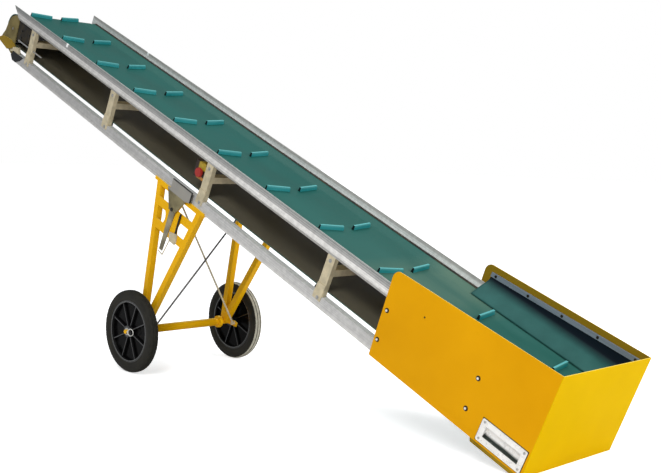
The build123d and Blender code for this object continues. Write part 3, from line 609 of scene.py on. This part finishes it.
# Darker towards the head end.
darker_towards_head = aluminium.span(spot["X"], -1.8, 0.9, 0.74, 1.0)
mottle = aluminium.noise(aluminium.coordinates(), 55.0, detail=6.0)
tone_scale = aluminium.math(
    "MULTIPLY",
    aluminium.math("MULTIPLY", darker_towards_head, aluminium.span(lines, 0.32, 0.68, 0.76, 1.14)),
    aluminium.span(mottle, 0.35, 0.65, 0.90, 1.08),
)
tone = aluminium.node("ShaderNodeVectorMath", operation="SCALE")
aluminium.link(bands_and_inner_light, tone.inputs[0])
aluminium.link(tone_scale, tone.inputs["Scale"])
rail_joint = -1.230
seam = aluminium.away(spot["X"], rail_joint)
crest = aluminium.step_up(spot["Z"], 0.995, 0.003)
# A bright line across the crest at the joint, as a painted highlight.
joint_highlight = aluminium.math("MULTIPLY", aluminium.step_down(seam, 0.009, 0.002), crest)
aluminium.set(
    Base_Color=aluminium.mix(joint_highlight, tone.outputs[0], (1.0, 1.0, 0.98)),
    Metallic=0.12,
    Roughness=aluminium.vary(lines, 0.38, 0.55),
)
aluminium.bump(lines, 0.4, 0.001)
dress(aluminium, "chord_near", "chord_far", "side_rail_near_head", "side_rail_near_tail")
dress(aluminium, "side_rail_far_head", "side_rail_far_tail")

# Clamp: a plate and a hand lever that hold the undercarriage on the near chord, of zinc gone
# brown-grey with handling, with a black nut on the pivot. The lever's strut ends in a lug.
def worn_zinc(name, darker, lighter):
    """Stained zinc in two tones: greyer over the chord, painted shadow at its edges, black on the
    nut.
    """
    coat = Shade(name)
    stains = coat.noise(coat.coordinates(), 16.0, detail=6.0)
    spot = coat.parts(coat.coordinates(slope=True))
    chord_foot, plate_top, plate_end, plate_face = 0.729, 0.786, 0.095, -0.2813
    over_chord = coat.step_up(spot["Z"], chord_foot, 0.002, 0.8)
    # A thin black line at the top and tail edges, as painted shadow.
    top_edge_shadow = coat.step_up(spot["Z"], plate_top, 0.001)
    tail_edge_shadow = coat.step_up(spot["X"], plate_end, 0.001)
    proud = coat.step_down(spot["Y"], plate_face, 0.0001)
    shadow_and_nut_black = coat.math("MAXIMUM", proud, coat.math("MAXIMUM", top_edge_shadow, tail_edge_shadow))
    plain = coat.ramp(stains, [(0.35, darker), (0.65, lighter)])
    greyed = coat.mix(over_chord, plain, (0.40, 0.385, 0.36))
    coat.set(
        Base_Color=coat.mix(shadow_and_nut_black, greyed, (0.02, 0.02, 0.018)),
        Metallic=0.4,
        Roughness=coat.vary(stains, 0.32, 0.5),
    )
    return coat


handled = worn_zinc("handled_zinc", (0.125, 0.100, 0.045), (0.30, 0.255, 0.130))
lever_shade = worn_zinc("lever_zinc", (0.20, 0.175, 0.115), (0.40, 0.355, 0.245))
dress(handled, "clamp_plate")
dress(lever_shade, "hand_lever")
dress(galvanised, "strut_lug")

# Strut and drum bearings: the clamp's bar and four plates that hold the drums' shafts, of
# steel in matt black with some grime
dark_steel = Shade("dark_steel")
place = dark_steel.coordinates()
grime = dark_steel.noise(place, 35.0, detail=5.0)
dark_steel.set(
    Base_Color=dark_steel.ramp(
        grime, [(0.35, (0.006, 0.005, 0.004)), (0.7, (0.045, 0.034, 0.018))]
    ),
    Roughness=dark_steel.vary(grime, 0.4, 0.65),
    Specular_IOR_Level=0.2,
)
dress(dark_steel, "clamp_strut", "head_bearing_near", "head_bearing_far")
dress(dark_steel, "tail_bearing_near", "tail_bearing_far")

# Chord caps and return rollers: black plastic, moulded with a slight gloss. The caps plug the
# chords' ends, and the rollers carry the belt's lower run beside the posts.
black_plastic = Shade("black_plastic")
place = black_plastic.coordinates()
cast = black_plastic.noise(place, 60.0)
black_plastic.set(
    Base_Color=black_plastic.tones(cast, (0.002, 0.002, 0.002), (0.006, 0.006, 0.006)),
    Roughness=black_plastic.vary(cast, 0.14, 0.22),
    Specular_IOR_Level=0.3,
)
black_plastic.bump(black_plastic.noise(place, 500.0), 0.05, 0.001)
dress(black_plastic, "chord_cap_near", "chord_cap_far")
dress(black_plastic, "return_rollers_near", "return_rollers_far")

# Belt: teal rubber cover, turquoise cleats with painted shadow on their cut ends and a painted
# highlight along their tops, and a dark fabric underside on the inside of the loop. The cover is
# paler towards the low end and on its wings, and paler still in a patch by the hopper's head end.
belt_shade = Shade("belt_rubber")
local = belt_shade.coordinates(slope=True)
spot = belt_shade.parts(local)
across = belt_shade.math("ABSOLUTE", spot["Y"])
height = spot["Z"]
normal = belt_shade.facing()
facing = belt_shade.node("ShaderNodeVectorMath", operation="DOT_PRODUCT")
facing.inputs[1].default_value = (SIN, 0, COS)
belt_shade.link(normal, facing.inputs[0])
looks = belt_shade.parts(normal)
loop_middle, cover_above, cover_below = 0.8815, 0.9645, 0.7985
side_of_loop = belt_shade.math("SUBTRACT", height, loop_middle)
outward = belt_shade.math("MULTIPLY", side_of_loop, facing.outputs["Value"])
inner = belt_shade.math("LESS_THAN", outward, -0.01)
above = belt_shade.math("GREATER_THAN", height, cover_above)
below = belt_shade.math("LESS_THAN", height, cover_below)
cleat_reach = 0.17
cleat = belt_shade.math(
    "MULTIPLY",
    belt_shade.math("MAXIMUM", above, below),
    belt_shade.math("LESS_THAN", across, cleat_reach),
)
# The cleats' cut end faces are painted near black, as painted shadow.
cleat_end_shadow = belt_shade.math(
    "MULTIPLY",
    cleat,
    belt_shade.math("GREATER_THAN", belt_shade.math("ABSOLUTE", looks["Y"]), 0.9),
)
# A pale band along the cleats' tops, as a painted highlight.
crest = belt_shade.math("MULTIPLY", cleat, belt_shade.span(height, 0.974, 0.984, 0.0, 0.75))
stain = belt_shade.noise(belt_shade.coordinates(scale=(0.5, 2, 2), slope=True), 3.0, detail=6.0)
deep = belt_shade.tones(stain, (0.004, 0.068, 0.056), (0.008, 0.092, 0.078))
paler_cover = belt_shade.tones(stain, (0.014, 0.086, 0.070), (0.028, 0.112, 0.094))
# The cover is paler towards the low end and on its wings.
low_end = belt_shade.span(spot["X"], 0.3, 1.3, 0.0, 1.0)
wing = belt_shade.span(across, 0.165, 0.187, 0.0, 0.55)
cover = belt_shade.mix(belt_shade.math("MAXIMUM", low_end, wing), deep, paler_cover)
# It is paler still in a patch by the hopper's head end.
under_feed = belt_shade.math(
    "MULTIPLY",
    belt_shade.step_up(spot["X"], 1.135, 0.085),
    belt_shade.step_down(spot["X"], 1.51, 0.09),
)
pale_patch = belt_shade.math("MULTIPLY", under_feed, belt_shade.span(stain, 0.35, 0.6, 0.35, 0.9))
cover = belt_shade.mix(pale_patch, cover, (0.075, 0.145, 0.105))
fabric = belt_shade.tones(stain, (0.078, 0.070, 0.048), (0.125, 0.114, 0.080))
ridge = belt_shade.tones(stain, (0.010, 0.19, 0.20), (0.030, 0.26, 0.27))
cleat_top_highlight = belt_shade.mix(crest, ridge, (0.13, 0.42, 0.42))
outer = belt_shade.mix(cleat_end_shadow, belt_shade.mix(cleat, cover, cleat_top_highlight), (0.004, 0.012, 0.012))
belt_shade.set(
    Base_Color=belt_shade.mix(inner, outer, fabric),
    Roughness=belt_shade.vary(stain, 0.42, 0.6),
    Specular_IOR_Level=0.14,
)
belt_shade.bump(belt_shade.noise(local, 700.0, detail=2.0), 0.06, 0.001)
dress(belt_shade, "belt")

# Belt edge shadows: a thin dark strip along both edges of the belt, which fills the gap to the
# rail as painted shadow and laps the belt's edge with a thin lip
edge_shadow_ends = (-1797.0, 1384.0)
edge_shadow_corners = ((241.0, 974.2), (249.7, 974.2), (249.7, 979.2))
edge_shadow_corners += ((237.0, 976.5), (237.0, 975.8), (241.0, 976.3))
corner_count = len(edge_shadow_corners)
for name, side in (("near", -1), ("far", 1)):
    verts = [at(u, side * v, w) for u in edge_shadow_ends for v, w in edge_shadow_corners]
    faces = [tuple(range(corner_count)), tuple(range(2 * corner_count - 1, corner_count - 1, -1))]
    for k in range(corner_count):
        n = (k + 1) % corner_count
        faces.append((k, corner_count + k, corner_count + n, n))
    if side < 0:
        faces = [face[::-1] for face in faces]
    piece_from("belt_edge_shadow_" + name, verts, faces, dark_steel, "conveyor")

# Drive-end covers: steel sheet in a dull, olive passivated finish, bolted over the head
# drum's ends
olive = Shade("olive_plate")
place = olive.coordinates()
haze = olive.noise(place, 18.0, detail=5.0)
olive.set(
    Base_Color=olive.tones(haze, (0.115, 0.085, 0.022), (0.235, 0.185, 0.065)),
    Metallic=0.2,
    Roughness=olive.vary(haze, 0.42, 0.6),
    Specular_IOR_Level=0.3,
)
olive.bump(olive.noise(place, 260.0), 0.08, 0.001)
dress(olive, "head_cover_near", "head_cover_far")

# Hopper: two side panels, an end panel and folded skids of steel sheet, bolted to the frame.
# The end panel has a lit copy of the yellow, paler and more lemon, as painted light. The skids,
# and the wiper lip at the head drum, have the same coat painted darker, as painted shade.
yellow = powder_coat("yellow_paint", (0.69, 0.315, 0.001), (0.77, 0.365, 0.002))
# A lit copy of the side panels' yellow, paler and more lemon: painted light on the end panel.
lit_end_yellow = powder_coat("yellow_paint_lit_copy", (0.67, 0.415, 0.001), (0.75, 0.475, 0.001))
lit_end_yellow.set(Specular_IOR_Level=0.004)
# The same coat painted darker, as painted shade on the skids and the wiper lip.
yellow_in_painted_shade = powder_coat("yellow_paint_shaded_copy", (0.14, 0.085, 0.006), (0.46, 0.29, 0.02))
dress(yellow, "hopper_side_near", "hopper_side_far")
dress(lit_end_yellow, "hopper_end")
dress(yellow_in_painted_shade, "hopper_skids", "wiper_lip")

# Handle plates: two bright zinc plates with cups pressed in, screwed to the side panels. The
# lower half of each cup lies in shadow.
handle_shade = Shade("handle_plate")
place = handle_shade.coordinates(slope=True)
spot = handle_shade.parts(place)
plate_back = 0.2842
in_cup = handle_shade.math("LESS_THAN", handle_shade.math("ABSOLUTE", spot["Y"]), plate_back)
wavy = handle_shade.math(
    "ADD",
    spot["Z"],
    handle_shade.math("MULTIPLY", handle_shade.noise(place, 9.0, detail=2.0), 0.012),
)
cup_middle = 0.771
low_half = handle_shade.step_down(wavy, cup_middle, 0.005)
film = handle_shade.noise(place, 30.0)
bright_plate = handle_shade.tones(film, (0.80, 0.79, 0.76), (0.92, 0.91, 0.88))
handle_shade.set(
    Base_Color=handle_shade.mix(
        handle_shade.math("MULTIPLY", in_cup, low_half), bright_plate, (0.055, 0.065, 0.055)
    ),
    Metallic=0.15,
    Roughness=handle_shade.vary(handle_shade.noise(place, 60.0), 0.25, 0.35),
)
dress(handle_shade, "hopper_handle_near", "hopper_handle_far")

# Handle plate shadows: a flat dark frame under each handle plate, which stands out a little all
# round it as a dark line of painted shadow
plate_shadow_u, plate_shadow_w = 2038.1, 776.0
plate_shadow_outer, plate_shadow_inner = (106.5, 46.5), (99.0, 39.0)
plate_shadow_faces = (284.6, 285.4)
for name, side in (("near", -1), ("far", 1)):
    verts, faces = [], []
    for half_u, half_w in (plate_shadow_outer, plate_shadow_inner):
        for v in plate_shadow_faces:
            for u, w in ((-1, -1), (1, -1), (1, 1), (-1, 1)):
                verts.append(at(plate_shadow_u + u * half_u, side * v, plate_shadow_w + w * half_w))
    for k in range(4):
        n = (k + 1) % 4
        faces.append((k, n, 4 + n, 4 + k))
        faces.append((8 + n, 8 + k, 12 + k, 12 + n))
        faces.append((4 + k, 4 + n, 12 + n, 12 + k))
        faces.append((n, k, 8 + k, 8 + n))
    if side > 0:
        faces = [face[::-1] for face in faces]
    piece_from("handle_plate_shadow_" + name, verts, faces, rubber, "conveyor")

# Skirt strips: aluminium strips, blued and dull, bolted inside the hopper's walls to clamp
# the skirts
strip_shade = Shade("skirt_strip")
drawn = strip_shade.coordinates(scale=(0.3, 60, 60), slope=True)
lines = strip_shade.noise(drawn, 4.0, detail=6.0, roughness=0.7)
strip_shade.set(
    Base_Color=strip_shade.tones(lines, (0.20, 0.235, 0.28), (0.33, 0.375, 0.44)),
    Metallic=0.25,
    Roughness=strip_shade.vary(lines, 0.4, 0.55),
)
dress(strip_shade, "skirt_strip_near", "skirt_strip_far")

# Skirts: sheets of teal rubber, each hung from the strip on its wall, straight down at first,
# then curving out over the belt and resting on it with a slight ripple. They lie in deep
# shade under the strips.
skirt_shade = Shade("skirt_rubber")
place = skirt_shade.coordinates(slope=True)
wear_and_painted_light = skirt_shade.noise(place, 9.0, detail=5.0)
spot = skirt_shade.parts(place)
shaded = skirt_shade.step_up(spot["Z"], 1.021, 0.013)
lit = skirt_shade.tones(wear_and_painted_light, (0.016, 0.080, 0.072), (0.030, 0.115, 0.104))
skirt_shade.set(
    Base_Color=skirt_shade.mix(shaded, lit, (0.006, 0.012, 0.020)),
    Roughness=skirt_shade.vary(wear_and_painted_light, 0.5, 0.65),
    Specular_IOR_Level=0.12,
)
skirt_shade.bump(skirt_shade.noise(place, 500.0), 0.08, 0.001)
dress(belt_shade, "hopper_skirt_near", "hopper_skirt_far")


def strip_height(u):
    """Height of the strip's top edge in the belt frame: it rises a little down the slope."""
    return 1060 + 0.0510 * (u - 1361)


skirt_rows = 60
skirt_start, skirt_end = 1385.0, 2128.0
hanging_v = 280.6
long_wave, short_wave, ripple_height = 61.0, 23.0, 1.6
curve = [(280.0, 1034), (276.5, 1026), (267, 1018.5), (252, 1010.5)]
curve += [(236, 1001.5), (220, 991.5), (205, 981), (193, 972.5), (187.2, 967.6)]
for name, side in (("near", -1), ("far", 1)):
    verts, faces = [], []
    for i in range(skirt_rows + 1):
        u = skirt_start + (skirt_end - skirt_start) * i / skirt_rows
        top = strip_height(u)
        ripple = math.sin(u / long_wave + side) + 0.5 * math.sin(u / short_wave)
        hanging = [(hanging_v, w) for w in (top - 0.5, top - 20, (top - 20 + 1032) / 2)]
        line = hanging + curve
        for j, (v, w) in enumerate(line):
            swell = ripple_height * ripple * max(0, j - 3) / 8 * (1 if j < 10 else 0.2)
            verts.append(at(u, side * (v - 0.4 * swell), w + swell))
    columns = len(line)
    for i in range(skirt_rows):
        for j in range(columns - 1):
            a = i * columns + j
            quad = (a, a + 1, a + columns + 1, a + columns)
            faces.append(quad if side < 0 else quad[::-1])
    skirt = piece_from("skirt_" + name, verts, faces, skirt_shade, "conveyor", True)
    thick = skirt.modifiers.new("thickness", "SOLIDIFY")
    thick.thickness = 0.0025
    thick.offset = 0
    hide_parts("hopper_skirt_" + name)

# Stop switch: a plastic box on a post of the near side, between chord and rail, with a yellow
# lid, an orange sill along its low edge, the rest painted near black as painted shade, and a red
# button
yellow_plastic = Shade("yellow_plastic")
cast = yellow_plastic.noise(yellow_plastic.coordinates(), 50.0)
spot = yellow_plastic.parts(yellow_plastic.coordinates(slope=True))
past_end = yellow_plastic.step_up(spot["X"], 0.056, 0.004)
lid = yellow_plastic.math(
    "MULTIPLY", yellow_plastic.step_up(spot["Z"], 0.901, 0.003), past_end
)
sill = yellow_plastic.math(
    "MULTIPLY", yellow_plastic.step_down(spot["Z"], 0.868, 0.002), past_end
)
cover = yellow_plastic.tones(cast, (0.38, 0.26, 0.02), (0.50, 0.35, 0.03))
# Outside the lid and the sill, the box is painted near black, as painted shade.
base = yellow_plastic.mix(lid, (0.022, 0.010, 0.006), cover)
yellow_plastic.set(
    Base_Color=yellow_plastic.mix(sill, base, (0.55, 0.24, 0.04)),
    Roughness=yellow_plastic.vary(cast, 0.45, 0.6),
)
red_plastic = Shade("red_plastic")
place = red_plastic.coordinates()
cast = red_plastic.noise(place, 50.0)
red_plastic.set(
    Base_Color=red_plastic.tones(cast, (0.33, 0.016, 0.010), (0.42, 0.026, 0.016)),
    Roughness=red_plastic.vary(cast, 0.28, 0.4),
)
dress(yellow_plastic, "stop_box")
dress(red_plastic, "stop_button")

# Fixings: hexagon heads on the hopper, posts and head bearings, round ones on the strips
# and the handle plates. Each stands on the outer face of its piece, and those of the strips
# on their inner face. The faces are given by their distance from the middle plane.
def fixings_group(shade):
    """Node group that sets a washer and a hexagon head on each point, along its facing."""
    group = bpy.data.node_groups.new("fixings", "GeometryNodeTree")
    sockets = group.interface
    sockets.new_socket("Points", in_out="INPUT", socket_type="NodeSocketGeometry")
    sockets.new_socket("Head Radius", in_out="INPUT", socket_type="NodeSocketFloat")
    sockets.new_socket("Head Height", in_out="INPUT", socket_type="NodeSocketFloat")
    sockets.new_socket("Washer Radius", in_out="INPUT", socket_type="NodeSocketFloat")
    sockets.new_socket("Sides", in_out="INPUT", socket_type="NodeSocketInt")
    sockets.new_socket("Geometry", in_out="OUTPUT", socket_type="NodeSocketGeometry")
    source = group.nodes.new("NodeGroupInput")
    result = group.nodes.new("NodeGroupOutput")

    def wire(a, b):
        group.links.new(a, b)

    def disc(radius, depth, sides):
        """A cylinder whose sizes are plain numbers or come from the group's inputs."""
        cylinder = group.nodes.new("GeometryNodeMeshCylinder")
        for socket, size in (("Vertices", sides), ("Radius", radius), ("Depth", depth)):
            if isinstance(size, (int, float)):
                cylinder.inputs[socket].default_value = size
            else:
                wire(size, cylinder.inputs[socket])
        return cylinder.outputs["Mesh"]

    join = group.nodes.new("GeometryNodeJoinGeometry")
    washer_depth, washer_sides = 0.002, 20
    wire(disc(source.outputs["Washer Radius"], washer_depth, washer_sides), join.inputs[0])
    head_sizes = (source.outputs[key] for key in ("Head Radius", "Head Height", "Sides"))
    wire(disc(*head_sizes), join.inputs[0])
    facing = group.nodes.new("GeometryNodeInputNamedAttribute")
    facing.data_type = "FLOAT_VECTOR"
    facing.inputs["Name"].default_value = "facing"
    align = group.nodes.new("FunctionNodeAlignRotationToVector")
    align.axis = "Z"
    wire(facing.outputs["Attribute"], align.inputs["Vector"])
    place_on = group.nodes.new("GeometryNodeInstanceOnPoints")
    wire(source.outputs["Points"], place_on.inputs["Points"])
    wire(join.outputs[0], place_on.inputs["Instance"])
    wire(align.outputs[0], place_on.inputs["Rotation"])
    realize = group.nodes.new("GeometryNodeRealizeInstances")
    wire(place_on.outputs[0], realize.inputs[0])
    paint = group.nodes.new("GeometryNodeSetMaterial")
    paint.inputs["Material"].default_value = shade.material
    wire(realize.outputs[0], paint.inputs["Geometry"])
    wire(paint.outputs[0], result.inputs["Geometry"])
    return group


def fixings(name, spots, head_radius, head_height, washer_radius, sides, shade):
    """Fixings of the conveyor at belt-frame spots ((u, v, w), facing), made plain mesh."""
    mesh = bpy.data.meshes.new(name + "_points")
    mesh.from_pydata([tuple(at(*spot)) for spot, _ in spots], [], [])
    facing = mesh.attributes.new("facing", "FLOAT_VECTOR", "POINT")
    for i, (_, direction) in enumerate(spots):
        facing.data[i].vector = direction
    holder = bpy.data.objects.new(name + "_points", mesh)
    bpy.context.scene.collection.objects.link(holder)
    modifier = holder.modifiers.new("fixings", "NODES")
    modifier.node_group = fixings_group(shade)
    values = {
        "Head Radius": head_radius,
        "Head Height": head_height,
        "Washer Radius": washer_radius,
        "Sides": sides,
    }
    for socket in modifier.node_group.interface.items_tree:
        if socket.in_out == "INPUT" and socket.name in values:
            modifier[socket.identifier] = values[socket.name]
    graph = bpy.context.evaluated_depsgraph_get()
    baked = bpy.data.meshes.new_from_object(holder.evaluated_get(graph))
    bpy.data.objects.remove(holder)
    baked.name = name
    made = bpy.data.objects.new(name, baked)
    bpy.context.scene.collection.objects.link(made)
    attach(made, "conveyor")


near, far = (0, -1, 0), (0, 1, 0)
wall_face, strip_face, plate_face = 284.5, 274.0, 286.0
chord_face, rail_face, bearing_face = 268.0, 265.0, 249.0
handle_middle_u, handle_middle_w = 2038, 776
hopper_spots, strip_spots, post_spots, handle_spots, bearing_spots = [], [], [], [], []
for side, out in ((-1, near), (1, far)):
    back = (0, -side, 0)
    for u, w in ((1374, 923), (1379, 798), (1852, 929), (1852, 803)):
        hopper_spots.append(((u, side * wall_face, w), out))
    for u in range(1410, 2099, 172):
        strip_spots.append(((u, side * strip_face, strip_height(u) - 10), back))
    for du, dw in ((-92, 33), (92, 33), (-92, -33), (92, -33)):
        u, w = handle_middle_u + du, handle_middle_w + dw
        handle_spots.append(((u, side * plate_face, w), out))
    for u in (-1573, -713, 147, 1007):
        post_spots.append(((u, side * chord_face, 767), out))
        post_spots.append(((u, side * rail_face, 935), out))
    for u, w in ((-1722, 905), (-1722, 866), (-1640, 905), (-1640, 866)):
        bearing_spots.append(((u, side * bearing_face, w), out))
hole_shade_spots = [((1546, -wall_face, 995), near)]
# Name, spots, head radius, head height, washer radius, sides of the head, and finish
for row in (
    # The hopper's washers are dark rings of painted shadow round the bolt heads, and its plug is
    # a dark disc of painted shade in a small hole.
    ("hopper_washers_shaded", hopper_spots, 0.0070, 0.004, 0.0100, 16, dark_steel),
    ("hopper_bolts", hopper_spots, 0.0050, 0.010, 0.0055, 6, bright),
    ("hopper_hole_shade", hole_shade_spots, 0.0035, 0.003, 0.0030, 12, dark_steel),
    ("strip_bolts", strip_spots, 0.0045, 0.007, 0.0060, 12, dark_steel),
    ("bearing_bolts", bearing_spots, 0.0055, 0.008, 0.0080, 6, handled),
    ("post_bolts", post_spots, 0.0055, 0.008, 0.0085, 6, zinc),
    ("handle_screws", handle_spots, 0.0042, 0.005, 0.0030, 16, zinc),
):
    fixings(*row)
